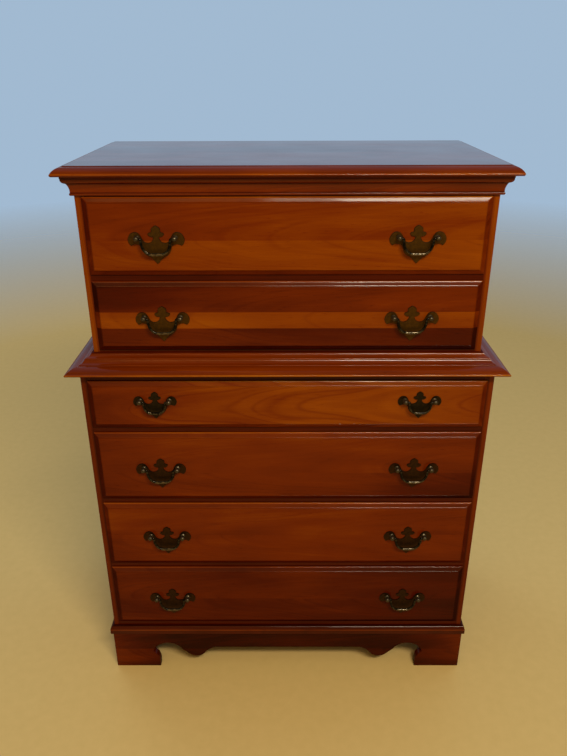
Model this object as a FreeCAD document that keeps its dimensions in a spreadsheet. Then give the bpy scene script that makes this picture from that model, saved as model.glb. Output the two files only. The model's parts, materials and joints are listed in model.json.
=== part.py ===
import FreeCAD, Part
import os
from types import SimpleNamespace

import Sketcher

# Chest on chest in cherry: two drawers in the upper case, four in the lower, bracket feet, brass bail pulls.
# Frame: +Z up, front towards -Y, origin on the floor under the middle of the bounding box.

# Driving sizes, millimetres.
SIZES = {
    # the two cases
    "lower_width": 892,
    "lower_depth": 464,
    "setback": 28.5,
    "side_thickness": 20,
    "back_thickness": 6,
    "back_rabbet": 10,
    "deck_thickness": 20,
    # rails, runners and dust panels between the drawers
    "rail_thickness": 25,
    "rail_depth": 60,
    "runner_width": 50,
    "rear_rail_depth": 50,
    "joint_depth": 6,
    "panel_thickness": 4,
    "lower_fill_height": 18,
    "upper_fill_height": 10,
    "lower_top_rail": 18,
    "upper_top_rail": 47.5,
    "guide_width": 30,
    "guide_height": 9,
    # feet and aprons
    "foot_height": 117,
    "foot_width": 115,
    "foot_proud": 5,
    "apron_thickness": 19,
    "apron_drop": 51,
    "scroll_width": 148,
    "bracket_width": 90,
    "block_width": 34,
    "block_lift": 12,
    # mouldings and top
    "base_reach": 10,
    "base_height": 23,
    "waist_reach": 26,
    "waist_height": 43,
    "cornice_reach": 19,
    "cornice_height": 39,
    "top_thickness": 18.5,
    "top_overhang": 33.5,
    "nose_width": 21,
    "nose_step": 1.5,
    # drawer fronts, heights over the lips
    "first_front_height": 157.5,
    "second_front_height": 152.5,
    "third_front_height": 113.5,
    "fourth_front_height": 176,
    "fifth_front_height": 176,
    "sixth_front_height": 176,
    "lip_overlap": 6,
    "lip_reach": 10,
    "lip_edge": 3.5,
    "lip_gap": 0.3,
    "thumb_width": 11,
    "thumb_step": 1.5,
    "block_thickness": 13,
    "block_gap": 1.5,
    # drawer boxes
    "running_gap": 0.3,
    "side_gap": 2,
    "top_gap": 8,
    "rear_gap": 25,
    "box_side_thickness": 12,
    "box_back_thickness": 12,
    "box_back_inset": 10,
    "bottom_thickness": 5,
    "bottom_raise": 12,
    "groove_depth": 6,
    "tail_length": 9,
    "channel_width": 62,
    "channel_gap": 1,
    # pulls
    "large_bore": 76.2,
    "small_bore": 63.5,
    "upper_pull_x": 261,
    "lower_pull_x": 287,
    "third_pull_lift": 14,
    "plate_thickness": 2,
    "post_reach": 10.5,
    "ball_radius": 5.8,
    "collar_radius": 6.2,
    "shank_width": 4,
    "shank_tail": 3,
    "bail_bar": 5.6,
    "bail_bend": 11,
    "bail_gap": 0.6,
    "pin_radius": 2.2,
    "pin_depth": 2.5,
    "pin_clearance": 0.05,
    # how far cutting tools run past what they cut
    "overrun": 2,
}

# Where a convex moulded edge bulges most, as shares of its width and its drop from the flat.
THUMB_SHARES = (0.5, 0.46)
NOSE_SHARES = (0.58, 0.27)
# Top edge: where the nose ends and its underside begins, as shares of the top's thickness and nose width.
NOSE_TIP_SHARE = 0.2
NOSE_UNDERCUT_SHARES = (0.1, 0.12)
# Dovetails: half width at the root and at the tip, as shares of the pitch.
TAIL_ROOT_SHARE = 0.24
TAIL_TIP_SHARE = 0.31
# Bail: drop from its pivot to the middle of the grip, as a share of half the bore spacing.
BAIL_DROP_SHARE = 0.83
# Centre guide starts this share of the way back across the front rail.
GUIDE_START_SHARE = 0.5

# Mouldings: (reach, height) shares of each corner, or (via, corner) for a curve.
BASE_SHARES = [(0, 0), (1, 0), (1, 0.5), (0.76, 0.84, 0.15, 1), (0, 1)]
CORNICE_SHARES = [
    (0, 0),
    (0.26, 0),
    (0.37, 0.07, 0.3, 0.14),
    (0.36, 0.42, 0.54, 0.6),
    (0.62, 0.62),
    (0.88, 0.7, 0.96, 0.86),
    (1, 0.88),
    (1, 1),
    (0, 1),
]
# Waist moulding, from its rounded nose up to the upper case; reach counted out from the upper case.
WAIST_SHARES = [
    (0.945, 0.14),
    (1, 0.205, 0.945, 0.275),
    (0.8, 0.415, 0.535, 0.495),
    (0.508, 0.51, 0.5, 0.545),
    (0.4, 0.605, 0.325, 0.72),
    (0.305, 0.785, 0.255, 0.805),
    (0.15, 0.865, 0.085, 1),
    (0, 1),
]

# Bracket foot and apron: across in shares of the scroll width, counted from the foot's inner edge to the
# middle of the chest, and up in shares of the foot height.
TOE_SHARES = [(0, 0), (0, 0.12), (-0.03, 0.3, -0.115, 0.43)]
FRONT_SCROLL_SHARES = [
    (0.135, 0.685, 0.41, 0.5),
    (0.5, 0.4),
    (0.655, 0.3, 0.83, 0.44),
]
FRONT_SCROLL_END_SHARES = (0.9, 0.51)
SIDE_ARCH_SHARES = (-0.04, 0.52)
SIDE_ARCH_END_SHARE = 0.14
BRACKET_SHARES = (0.62, 0.42, 0.5)

# Pull plate: right half from the lower point to the crown, in shares of half the bore spacing. Pulls are
# many and small, so their curves are drawn with few sides.
PLATE_SHARES = [
    (0, -1.4),
    (0.35, -1.02),
    (0.45, -0.96),
    (0.65, -0.82),
    (0.77, -0.54),
    (0.85, -0.41),
    (0.98, -0.36),
    (1.32, -0.42),
    (1.46, -0.28),
    (1.48, -0.06),
    (1.38, 0.14),
    (1.18, 0.28),
    (0.92, 0.24),
    (0.73, -0.06),
    (0.5, -0.26),
    (0.3, -0.22),
    (0.18, -0.1),
    (0.165, 0.05),
    (0.4, 0.105),
    (0.455, 0.2),
    (0.37, 0.275),
    (0.25, 0.345),
    (0.24, 0.47),
    (0.14, 0.56),
    (0, 0.635),
]
# Pull post, eight-sided: stations along its ball and their radii, in shares of the ball radius; then the
# neck's station, a share of the reach, and its radius.
BALL_SHARES = [(-1, 0.42), (-0.3, 1), (0.4, 0.95)]
NECK_SHARES = (0.66, 0.55)
POST_TURNS = (45, 90, 135)
ROUND_SIDES = 8
# An eight-sided hole's corner radius over its flat-to-centre distance.
ROUND_CORNER_SHARE = 1.0824
# Bail bends: points along a quarter turn, in shares of the bend radius.
BEND_SHARES = [(0, 0), (0.5, 0.134), (0.866, 0.5), (1, 1)]


class Size:
    """A length as a number, with the expression that gives it from the sheet."""

    def __init__(self, value, text):
        self.value = value
        self.text = text

    def __add__(self, other):
        other = size_of(other)
        return Size(self.value + other.value, f"({self.text} + {other.text})")

    __radd__ = __add__

    def __sub__(self, other):
        other = size_of(other)
        return Size(self.value - other.value, f"({self.text} - {other.text})")

    def __rsub__(self, other):
        return size_of(other) - self

    def __mul__(self, share):
        return Size(self.value * share, f"({self.text} * ({share}))")

    __rmul__ = __mul__

    def __truediv__(self, number):
        return Size(self.value / number, f"({self.text} / {number})")

    def __neg__(self):
        return self * -1


def size_of(amount):
    return amount if isinstance(amount, Size) else Size(amount, str(amount))


doc = FreeCAD.newDocument("chest_on_chest")
sheet = doc.addObject("Spreadsheet::Sheet", "Sizes")
for row, (alias, length) in enumerate(SIZES.items(), start=1):
    sheet.set(f"A{row}", alias)
    sheet.set(f"B{row}", str(length))
    sheet.setAlias(f"B{row}", alias)
doc.recompute()
s = SimpleNamespace(**{alias: Size(sheet.get(alias), f"Sizes.{alias}") for alias in SIZES})

X = FreeCAD.Vector(1, 0, 0)
Y = FreeCAD.Vector(0, 1, 0)
Z = FreeCAD.Vector(0, 0, 1)
# Sketch planes: how each one lies, and the axis that its extrusions follow.
PLANES = {
    "front": (FreeCAD.Rotation(X, 90), Y),
    "side": (FreeCAD.Rotation(X + Y + Z, 120), X),
    "plan": (FreeCAD.Rotation(), Z),
}
nodes = []


def bind(thing, **sizes):
    """Tie properties of an object to the sheet."""
    for name, amount in sizes.items():
        thing.setExpression(name, size_of(amount).text)


def put(thing, x, y, z):
    for axis, amount in zip("xyz", (x, y, z)):
        thing.setExpression(f"Placement.Base.{axis}", size_of(amount).text)


def span(half):
    return (-half, half)


def board(name, x, y, z):
    """A squared board between low and high in each direction."""
    box = doc.addObject("Part::Box", name)
    bind(box, Length=x[1] - x[0], Width=y[1] - y[0], Height=z[1] - z[0])
    put(box, x[0], y[0], z[0])
    return box


def point(pair):
    return FreeCAD.Vector(size_of(pair[0]).value, size_of(pair[1]).value, 0)


def draw(sketch, steps):
    """Draw a closed outline: each step is a corner, or a point on a curve and then its end."""
    corners = [step[-2:] for step in steps]
    curves = [step[:-2] for step in steps[1:]]
    if point(corners[0]).isEqual(point(corners[-1]), Part.Precision.confusion()):
        corners.pop()
    else:
        curves.append(())
    drawn = []
    marks = []
    starts = []
    ends = []
    for i, via in enumerate(curves):
        start = point(corners[i])
        end = point(corners[(i + 1) % len(corners)])
        turns_left = True
        if via:
            middle = point(via)
            drawn.append(Part.Arc(start, middle, end))
            turns_left = (middle - start).cross(end - middle).z > 0
            marks.append((i, via))
        else:
            drawn.append(Part.LineSegment(start, end))
        starts.append(1 if turns_left else 2)
        ends.append(2 if turns_left else 1)
    first = sketch.GeometryCount
    sketch.addGeometry(drawn)
    first_mark = sketch.GeometryCount
    if marks:
        sketch.addGeometry([Part.Point(point(via)) for curve, via in marks], True)
    rules = []
    fixed = []
    for i, corner in enumerate(corners):
        before = (i - 1) % len(corners)
        rules.append(Sketcher.Constraint("Coincident", first + before, ends[before], first + i, starts[i]))
        fixed.append((first + i, starts[i], corner))
    for i, (curve, via) in enumerate(marks):
        rules.append(Sketcher.Constraint("PointOnObject", first_mark + i, 1, first + curve))
        fixed.append((first_mark + i, 1, via))
    amounts = []
    for curve, end, pair in fixed:
        for direction, amount in zip(("DistanceX", "DistanceY"), pair):
            amounts.append(size_of(amount))
            rules.append(Sketcher.Constraint(direction, -1, 1, curve, end, float(amounts[-1].value)))
    total = sketch.ConstraintCount + len(rules)
    sketch.addConstraint(rules)
    for index, amount in enumerate(amounts, start=total - len(amounts)):
        sketch.setExpression(f"Constraints[{index}]", amount.text)


def mirrored(half):
    """A closed outline from its right half, which runs from bottom to top."""
    corners = [step[-2:] for step in half]
    steps = list(half)
    if size_of(corners[-1][0]).value:
        steps.append((-corners[-1][0], corners[-1][1]))
    for step, (x, y) in zip(reversed(half), reversed(corners[:-1])):
        via = (-size_of(step[0]), step[1]) if len(step) > 2 else ()
        steps.append((*via, -size_of(x), y))
    return steps


def prism(name, plane, steps, along):
    """An outline drawn in a plane and extruded between two places along its normal."""
    rotation, axis = PLANES[plane]
    sketch = doc.addObject("Sketcher::SketchObject", f"{name}_outline")
    sketch.Placement = FreeCAD.Placement(FreeCAD.Vector(), rotation)
    draw(sketch, steps)
    solid = doc.addObject("Part::Extrusion", name)
    solid.Base = sketch
    solid.DirMode = "Custom"
    solid.Dir = axis
    solid.Solid = True
    bind(solid, LengthFwd=along[1], LengthRev=-size_of(along[0]))
    return solid


def common(name, first, second):
    both = doc.addObject("Part::Common", name)
    both.Base = first
    both.Tool = second
    return both


def cut(name, base, tool):
    rest = doc.addObject("Part::Cut", name)
    rest.Base = base
    rest.Tool = tool
    return rest


def fuse(name, *pieces):
    whole = doc.addObject("Part::MultiFuse", name)
    whole.Shapes = list(pieces)
    return whole


def group(name, pieces):
    together = doc.addObject("Part::Compound", name)
    together.Links = list(pieces)
    return together


def mirror(name, piece):
    """The same piece on the left of the chest."""
    other = doc.addObject("Part::Mirroring", name)
    other.Source = piece
    other.Normal = X
    return other


def node(label, *pieces):
    """Name a sub-part, made of one piece or of several alike."""
    whole = pieces[0] if len(pieces) == 1 else group(label, pieces)
    whole.Label = label
    nodes.append(whole)


# Places that several pieces share.
pull_depth = s.lip_reach + s.plate_thickness + s.post_reach + s.ball_radius
total_depth = s.lower_depth + pull_depth
rear_y = total_depth / 2
lower_front = pull_depth - total_depth / 2
upper_front = lower_front + s.setback
back_face = rear_y - s.back_thickness
lower_half = s.lower_width / 2
upper_half = lower_half - s.setback


def opening(height):
    """Clear height behind a drawer front of this height over its lips."""
    return height - s.lip_overlap * 2


# Drawer openings, from the floor up: each one's sill, then what lies above it.
sixth_sill = s.foot_height + s.lower_fill_height + s.rail_thickness
fifth_sill = sixth_sill + opening(s.sixth_front_height) + s.rail_thickness
fourth_sill = fifth_sill + opening(s.fifth_front_height) + s.rail_thickness
third_sill = fourth_sill + opening(s.fourth_front_height) + s.rail_thickness
deck_low = third_sill + opening(s.third_front_height) + s.lower_top_rail
deck_high = deck_low + s.deck_thickness
second_sill = deck_high + s.upper_fill_height + s.rail_thickness
first_sill = second_sill + opening(s.second_front_height) + s.rail_thickness
top_low = first_sill + opening(s.first_front_height) + s.upper_top_rail


def mitred_ring(name, section, side_x, front_face, low, height, reach, thickness):
    """Front and side lengths of a moulding, mitred at the front corners, butting at the back.

    section gives the profile for an outward reach; thickness is how far it goes in from its tip.
    """
    tip_x = side_x + reach
    tip_y = front_face - reach
    inner_x = tip_x - thickness
    inner_y = tip_y + thickness
    through = (low - s.overrun, low + height + s.overrun)
    front_plan = [(-tip_x, tip_y), (tip_x, tip_y), (inner_x, inner_y), (-inner_x, inner_y)]
    side_plan = [(tip_x, tip_y), (tip_x, rear_y), (inner_x, rear_y), (inner_x, inner_y)]
    across = prism(f"{name}_across", "side", section(front_face, -1, low), span(tip_x))
    along = prism(f"{name}_along", "front", section(side_x, 1, low), (tip_y, rear_y))
    front = common(f"{name}_front", across, prism(f"{name}_front_mitre", "plan", front_plan, through))
    right = common(f"{name}_right", along, prism(f"{name}_right_mitre", "plan", side_plan, through))
    node(name, front, right, mirror(f"{name}_left", right))


def profile(shares, reach, height):
    """A moulding section planted on a flat face, from a table of shares."""

    def section(face, outward, low):
        steps = []
        for step in shares:
            pairs = [step[i : i + 2] for i in range(0, len(step), 2)]
            places = [(face + reach * (out * outward), low + height * up) for out, up in pairs]
            steps.append(tuple(place for pair in places for place in pair))
        return steps

    return section


def waist_section(face, outward, low):
    """The waist moulding wraps the edge of the deck and closes on the upper case."""
    reach = s.waist_reach + s.setback
    nose_up = WAIST_SHARES[0][1]
    outer = profile(WAIST_SHARES, reach, s.waist_height)(face - s.setback * outward, outward, low)
    return outer + [
        (face - s.setback * outward, low + s.deck_thickness),
        (face, low + s.deck_thickness),
        (face, low + s.waist_height * nose_up),
    ]


def mouldings():
    mitred_ring(
        "base_moulding", profile(BASE_SHARES, s.base_reach, s.base_height),
        lower_half, lower_front, s.foot_height, s.base_height, s.base_reach, s.base_reach,
    )
    mitred_ring(
        "waist_moulding", waist_section,
        lower_half, lower_front, deck_low, s.waist_height, s.waist_reach, s.waist_reach + s.setback,
    )
    mitred_ring(
        "cornice_moulding", profile(CORNICE_SHARES, s.cornice_reach, s.cornice_height),
        upper_half, upper_front, top_low - s.cornice_height, s.cornice_height,
        s.cornice_reach, s.cornice_reach,
    )


def top_board():
    """Front and side edges carry the same nosing, so the board is where their two prisms meet."""
    high = top_low + s.top_thickness
    tip_z = top_low + s.top_thickness * NOSE_TIP_SHARE
    shoulder = high - s.nose_step
    under_in, under_up = NOSE_UNDERCUT_SHARES
    bulge_out, bulge_down = NOSE_SHARES

    def nosing(tip, inward):
        inner = tip + s.nose_width * inward
        bulge = inner - s.nose_width * (bulge_out * inward)
        return [
            (tip + s.nose_width * (under_in * inward), top_low),
            (tip, top_low + s.top_thickness * under_up),
            (tip, tip_z),
            (bulge, shoulder - (shoulder - tip_z) * bulge_down, inner, shoulder),
            (inner, high),
        ]

    tip_x = upper_half + s.top_overhang
    tip_y = upper_front - s.top_overhang
    front_to_back = nosing(tip_y, 1) + [(rear_y, high), (rear_y, top_low)]
    lengthwise = prism("top_lengthwise", "side", front_to_back, span(tip_x))
    crosswise = prism("top_crosswise", "front", mirrored(nosing(tip_x, -1)), (tip_y, rear_y))
    node("top_board", common("top_board", lengthwise, crosswise))


def feet():
    """Front and side aprons with bracket feet, mitred at the front, and plain brackets behind."""
    outer_x = lower_half + s.foot_proud
    outer_y = lower_front - s.foot_proud
    inner_x = outer_x - s.apron_thickness
    inner_y = outer_y + s.apron_thickness
    apron_low = s.foot_height - s.apron_drop

    def scroll(steps, edge, inward):
        """Place scroll shares from a foot's inner edge towards the middle."""
        placed = []
        for step in steps:
            pairs = [step[i : i + 2] for i in range(0, len(step), 2)]
            places = [(edge + s.scroll_width * (a * inward), s.foot_height * up) for a, up in pairs]
            placed.append(tuple(place for pair in places for place in pair))
        return placed

    foot_x = outer_x - s.foot_width
    bulge_in, bulge_up = FRONT_SCROLL_END_SHARES
    straight_x = foot_x - s.scroll_width
    right_half = [(outer_x, s.foot_height), (outer_x, 0)]
    right_half += scroll(TOE_SHARES + FRONT_SCROLL_SHARES, foot_x, -1)
    right_half.append(
        (foot_x - s.scroll_width * bulge_in, s.foot_height * bulge_up, straight_x, apron_low)
    )
    front_blank = prism("front_apron_blank", "front", mirrored(right_half), (outer_y, inner_y))
    front_plan = [(-outer_x, outer_y), (outer_x, outer_y), (inner_x, inner_y), (-inner_x, inner_y)]
    front_mitre = prism("front_apron_mitre", "plan", front_plan, (0, s.foot_height))
    node("front_apron", common("front_apron", front_blank, front_mitre))

    front_foot = outer_y + s.foot_width
    rear_foot = rear_y - s.foot_width
    arch_in, arch_up = SIDE_ARCH_SHARES
    front_toe = scroll(TOE_SHARES, front_foot, 1)
    rear_toe = scroll(TOE_SHARES, rear_foot, -1)
    toe_top = rear_toe[-1]
    apron_outline = [(outer_y, s.foot_height), (outer_y, 0)] + front_toe
    apron_outline += [
        (
            front_foot + s.scroll_width * arch_in, s.foot_height * arch_up,
            front_foot + s.scroll_width * SIDE_ARCH_END_SHARE, apron_low,
        ),
        (rear_foot - s.scroll_width * SIDE_ARCH_END_SHARE, apron_low),
        (rear_foot - s.scroll_width * arch_in, s.foot_height * arch_up, *toe_top[-2:]),
        (*toe_top[:2], *rear_toe[-2]),
        rear_toe[0],
        (rear_y, 0),
        (rear_y, s.foot_height),
    ]
    side_blank = prism("side_apron_blank", "side", apron_outline, (inner_x, outer_x))
    side_plan = [(outer_x, outer_y), (outer_x, rear_y), (inner_x, rear_y), (inner_x, inner_y)]
    side_mitre = prism("side_apron_mitre", "plan", side_plan, (0, s.foot_height))
    right = common("right_apron", side_blank, side_mitre)
    node("side_aprons", right, mirror("left_apron", right))

    rear_inner = rear_y - s.apron_thickness
    foot_part, waist_up, waist_part = BRACKET_SHARES
    bracket_outline = [
        (inner_x, s.foot_height),
        (inner_x, 0),
        (inner_x - s.bracket_width * foot_part, 0),
        (
            inner_x - s.bracket_width * waist_part, s.foot_height * waist_up,
            inner_x - s.bracket_width, s.foot_height,
        ),
    ]
    bracket = prism("rear_right_bracket", "front", bracket_outline, (rear_inner, rear_y))
    block_z = (s.block_lift, s.foot_height)
    block_x = (inner_x - s.block_width, inner_x)
    front_block = board("front_right_block", block_x, (inner_y, inner_y + s.block_width), block_z)
    rear_block = board("rear_right_block", block_x, (rear_inner - s.block_width, rear_inner), block_z)
    right_pieces = [bracket, front_block, rear_block]
    left_pieces = [mirror(piece.Name.replace("right", "left"), piece) for piece in right_pieces]
    node("foot_blocks", *right_pieces, *left_pieces)


def web_frame(name, inner, front, sill):
    """The frame under one drawer: front rail, two runners, rear rail, dust panel and centre guide."""
    z = (sill - s.rail_thickness, sill)
    rail_back = front + s.rail_depth
    rear_front = back_face - s.rear_rail_depth
    reach = inner + s.joint_depth
    runner_edge = inner - s.runner_width
    middle = sill - s.rail_thickness / 2
    panel = board(
        f"{name}_dust_panel",
        span(runner_edge + s.joint_depth),
        (rail_back - s.joint_depth, rear_front + s.joint_depth),
        (middle - s.panel_thickness / 2, middle + s.panel_thickness / 2),
    )
    rail = board(f"{name}_rail_blank", span(reach), (front, rail_back), z)
    rear = board(f"{name}_rear_rail_blank", span(reach), (rear_front, back_face), z)
    runner = board(f"{name}_runner_blank", (runner_edge, reach), (rail_back, rear_front), z)
    right = cut(f"{name}_right_runner", runner, panel)
    return SimpleNamespace(
        rail=cut(f"{name}_rail", rail, panel),
        frame=[cut(f"{name}_rear_rail", rear, panel), right, mirror(f"{name}_left_runner", right)],
        panel=panel,
        guide=board(
            f"{name}_guide",
            span(s.guide_width / 2),
            (front + s.rail_depth * GUIDE_START_SHARE, back_face),
            (sill, sill + s.guide_height),
        ),
    )


def case(name, half, front, low, high, sills, top_rail):
    """One carcase: two sides dadoed for the frames, a back let in, and the frames between them."""
    inner = half - s.side_thickness
    dadoes = [
        board(
            f"{name}_dado",
            (inner, inner + s.joint_depth),
            (front, back_face),
            (sill - s.rail_thickness, sill),
        )
        for sill in sills
    ]
    blank = board(f"{name}_side_blank", (inner, half), (front, rear_y), (low, high))
    rabbet = board(f"{name}_rabbet", (inner, inner + s.back_rabbet), (back_face, rear_y), (low, high))
    housed = cut(f"{name}_side_housed", blank, group(f"{name}_dadoes", dadoes))
    right = cut(f"{name}_side_right", housed, rabbet)
    node(f"{name}_side_right", right)
    node(f"{name}_side_left", mirror(f"{name}_side_left", right))
    node(
        f"{name}_back_panel",
        board(f"{name}_back_panel", span(inner + s.back_rabbet), (back_face, rear_y), (low, high)),
    )
    rail_y = (front, front + s.rail_depth)
    fill = board(f"{name}_fill_rail", span(inner), rail_y, (low, sills[0] - s.rail_thickness))
    head = board(f"{name}_top_rail", span(inner), rail_y, (high - top_rail, high))
    frames = [web_frame(name, inner, front, sill) for sill in sills]
    return SimpleNamespace(rails=[fill, head] + [frame.rail for frame in frames], frames=frames)


def cases():
    lower = case(
        "lower", lower_half, lower_front, s.foot_height, deck_low,
        [sixth_sill, fifth_sill, fourth_sill, third_sill], s.lower_top_rail,
    )
    upper = case(
        "upper", upper_half, upper_front, deck_high, top_low,
        [second_sill, first_sill], s.upper_top_rail,
    )
    frames = lower.frames + upper.frames
    node("deck_board", board("deck_board", span(lower_half), (lower_front, rear_y), (deck_low, deck_high)))
    node("front_rails", *lower.rails, *upper.rails)
    node("web_frames", *[piece for frame in frames for piece in frame.frame])
    node("dust_panels", *[frame.panel for frame in frames])
    node("centre_guides", *[frame.guide for frame in frames])


def front_slab(name, inner, front, sill, head):
    """The lipped slab with a thumbnail edge all round: the meeting of an upright and a level prism."""
    face = front - s.lip_reach
    step = face + s.thumb_step
    edge = front - s.lip_edge
    lip_back = front - s.lip_gap
    bulge_along, bulge_down = THUMB_SHARES
    bulge = step + (edge - step) * bulge_down

    def moulded(tip, inward):
        """From the lip's back corner over the moulded edge to the field."""
        shoulder = tip + s.thumb_width * inward
        crown = shoulder - s.thumb_width * (bulge_along * inward)
        return [(tip, lip_back), (tip, edge), (crown, bulge, shoulder, step), (shoulder, face)]

    tip = inner + s.lip_overlap
    low = sill - s.lip_overlap
    high = head + s.lip_overlap
    lower = moulded(low, 1)
    lower_back = [lower[3], lower[2][-2:], (*lower[2][:2], *lower[1]), lower[0]]
    steps = [tuple(flip(step)) for step in moulded(high, -1) + lower_back]
    standing = prism(f"{name}_upright", "side", steps, span(tip + s.overrun))
    lying = prism(f"{name}_level", "plan", mirrored(moulded(tip, -1)), (low - s.overrun, high + s.overrun))
    return common(f"{name}_slab", standing, lying)


def flip(step):
    """Swap the two coordinates of each place in an outline's step."""
    swapped = []
    for i in range(0, len(step), 2):
        swapped += [step[i + 1], step[i]]
    return swapped


def side_outline(front, sill, head, tail_count):
    """A drawer side seen from the side, with dovetails on its front end."""
    root = front + s.block_thickness
    tip = root - s.tail_length
    rear_end = back_face - s.rear_gap
    low = sill + s.running_gap
    high = head - s.top_gap
    pitch = (high - low) / tail_count
    steps = [(rear_end, low), (root, low)]
    for i in range(tail_count):
        middle = low + pitch * (i + 1 / 2)
        steps += [
            (root, middle - pitch * TAIL_ROOT_SHARE),
            (tip, middle - pitch * TAIL_TIP_SHARE),
            (tip, middle + pitch * TAIL_TIP_SHARE),
            (root, middle + pitch * TAIL_ROOT_SHARE),
        ]
    return steps + [(root, high), (rear_end, high)]


def drawer(number, half, front, sill, height, pull, pull_x, tail_count, lift=0):
    """One drawer: lipped front, dovetailed box, bottom in grooves, and two bail pulls."""
    name = f"drawer_{number}"
    inner = half - s.side_thickness
    head = sill + opening(height)
    outer = inner - s.side_gap
    inside = outer - s.box_side_thickness
    housed = inside + s.groove_depth
    block_back = front + s.block_thickness
    rear_end = back_face - s.rear_gap
    low = sill + s.running_gap
    high = head - s.top_gap
    bottom_low = low + s.bottom_raise
    bottom_high = bottom_low + s.bottom_thickness
    back_rear = rear_end - s.box_back_inset

    bottom = board(
        f"{name}_panel", span(housed), (block_back - s.groove_depth, back_rear), (bottom_low, bottom_high)
    )
    back = board(
        f"{name}_back", span(housed), (back_rear - s.box_back_thickness, back_rear), (bottom_high, high)
    )
    blank = prism(f"{name}_side_blank", "side", side_outline(front, sill, head, tail_count), (inside, outer))
    grooved = cut(f"{name}_side_grooved", blank, bottom)
    right = cut(f"{name}_side_right", grooved, back)
    left = mirror(f"{name}_side_left", right)
    node(f"{name}_box", right, left, back)

    channel_y = (block_back, back_rear)
    bar = board(f"{name}_channel_bar", span(s.channel_width / 2), channel_y, (low, bottom_low))
    slot = board(
        f"{name}_channel_slot",
        span(s.guide_width / 2 + s.channel_gap),
        (block_back - s.overrun, back_rear + s.overrun),
        (low - s.overrun, sill + s.guide_height + s.channel_gap),
    )
    node(f"{name}_bottom", bottom, cut(f"{name}_channel", bar, slot))

    face = front - s.lip_reach
    axis_y = face - s.plate_thickness - s.post_reach
    axis_z = (sill + head) / 2 + lift
    block = board(
        f"{name}_block", span(outer), (front - s.lip_gap, block_back), (low, head - s.block_gap)
    )
    tails = group(f"{name}_tails", [blank, mirror(f"{name}_left_blank", blank)])
    block = cut(f"{name}_block_grooved", cut(f"{name}_block_socketed", block, tails), bottom)
    front_whole = fuse(f"{name}_front_whole", front_slab(name, inner, front, sill, head), block)
    shank = s.shank_width / 2
    holes = [
        board(
            f"{name}_bolt_hole",
            (x - shank, x + shank),
            (face - s.overrun, block_back + s.overrun),
            (axis_z - shank, axis_z + shank),
        )
        for side in (-1, 1)
        for x in (pull_x * side - pull.half, pull_x * side + pull.half)
    ]
    node(f"{name}_front", cut(f"{name}_front", front_whole, group(f"{name}_bolt_holes", holes)))

    plates = []
    posts = []
    for side, word in ((-1, "left"), (1, "right")):
        middle = pull_x * side
        plates.append(place(f"{name}_plate_{word}", pull.plate, middle, face, axis_z))
        posts.append(place(f"{name}_post", post, middle + pull.half, axis_y, axis_z))
        posts.append(place(f"{name}_post", post, middle - pull.half, axis_y, axis_z, turned=True))
        bail = place(f"{name}_bail", pull.bail, middle, axis_y, axis_z)
        node(f"{name}_bail_{word}", group(f"{name}_bail_{word}", [bail]))
    node(f"{name}_pull_plates", *plates)
    node(f"{name}_pull_posts", *posts)


def place(name, piece, x, y, z, turned=False):
    """A copy of a pull piece; turned, it faces the other way along X."""
    copy = doc.addObject("App::Link", name)
    copy.LinkedObject = piece
    if turned:
        copy.Placement = FreeCAD.Placement(FreeCAD.Vector(), FreeCAD.Rotation(Y, 180))
    put(copy, x, y, z)
    return copy


def pull_plate(name, half):
    """Pierced and scrolled back plate, its back on the drawer front, with square holes for the posts."""
    body = doc.addObject("PartDesign::Body", name)
    plane = next(item for item in body.Origin.OriginFeatures if item.Role == "XZ_Plane")
    sketch = body.newObject("Sketcher::SketchObject", f"{name}_outline")
    sketch.AttachmentSupport = (plane, [""])
    sketch.MapMode = "FlatFace"
    draw(sketch, mirrored([tuple(half * share for share in step) for step in PLATE_SHARES]))
    pad = body.newObject("PartDesign::Pad", f"{name}_pad")
    pad.Profile = sketch
    bind(pad, Length=s.plate_thickness)
    holes = body.newObject("Sketcher::SketchObject", f"{name}_holes")
    holes.AttachmentSupport = (plane, [""])
    holes.MapMode = "FlatFace"
    shank = s.shank_width / 2
    for middle in (-half, half):
        draw(holes, [
            (middle - shank, -shank),
            (middle + shank, -shank),
            (middle + shank, shank),
            (middle - shank, shank),
        ])
    pocket = body.newObject("PartDesign::Pocket", f"{name}_pocket")
    pocket.Profile = holes
    pocket.Type = "ThroughAll"
    pocket.Reversed = True
    return body


def pin(name, radius, length, x, turn):
    """An eight-sided pin along X, from x outwards, to the right or, turned, to the left."""
    bar = doc.addObject("Part::Prism", name)
    bar.Polygon = ROUND_SIDES
    bar.Placement = FreeCAD.Placement(FreeCAD.Vector(), FreeCAD.Rotation(Y, turn))
    bind(bar, Circumradius=radius, Height=length)
    put(bar, x, 0, 0)
    return bar


def pull_post():
    """Right-hand post about the bail's axis: ball end bored from the inside, waisted stem, square shank."""
    reach = s.post_reach
    neck_along, neck_radius = NECK_SHARES
    half = [(s.ball_radius * radius, s.ball_radius * along) for along, radius in BALL_SHARES]
    half += [(s.ball_radius * neck_radius, reach * neck_along), (s.collar_radius, reach)]
    turning = prism("post_turning", "plan", mirrored(half), span(s.collar_radius + s.overrun))
    for turn in POST_TURNS:
        copy = doc.addObject("App::Link", "post_turning_copy")
        copy.LinkedObject = doc.post_turning
        copy.Placement = FreeCAD.Placement(FreeCAD.Vector(), FreeCAD.Rotation(Y, turn))
        turning = common("post_sides", turning, copy)
    shank = s.shank_width / 2
    length = s.plate_thickness + s.lip_reach + s.block_thickness + s.shank_tail
    bolt = board("post_shank", span(shank), (reach, reach + length), span(shank))
    bore_radius = (s.pin_radius + s.pin_clearance) * ROUND_CORNER_SHARE
    bore_end = s.pin_depth + s.bail_gap
    bore = pin("post_bore", bore_radius, bore_end + s.collar_radius, bore_end, -90)
    return cut("pull_post", fuse("post_blank", turning, bolt), bore)


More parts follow.
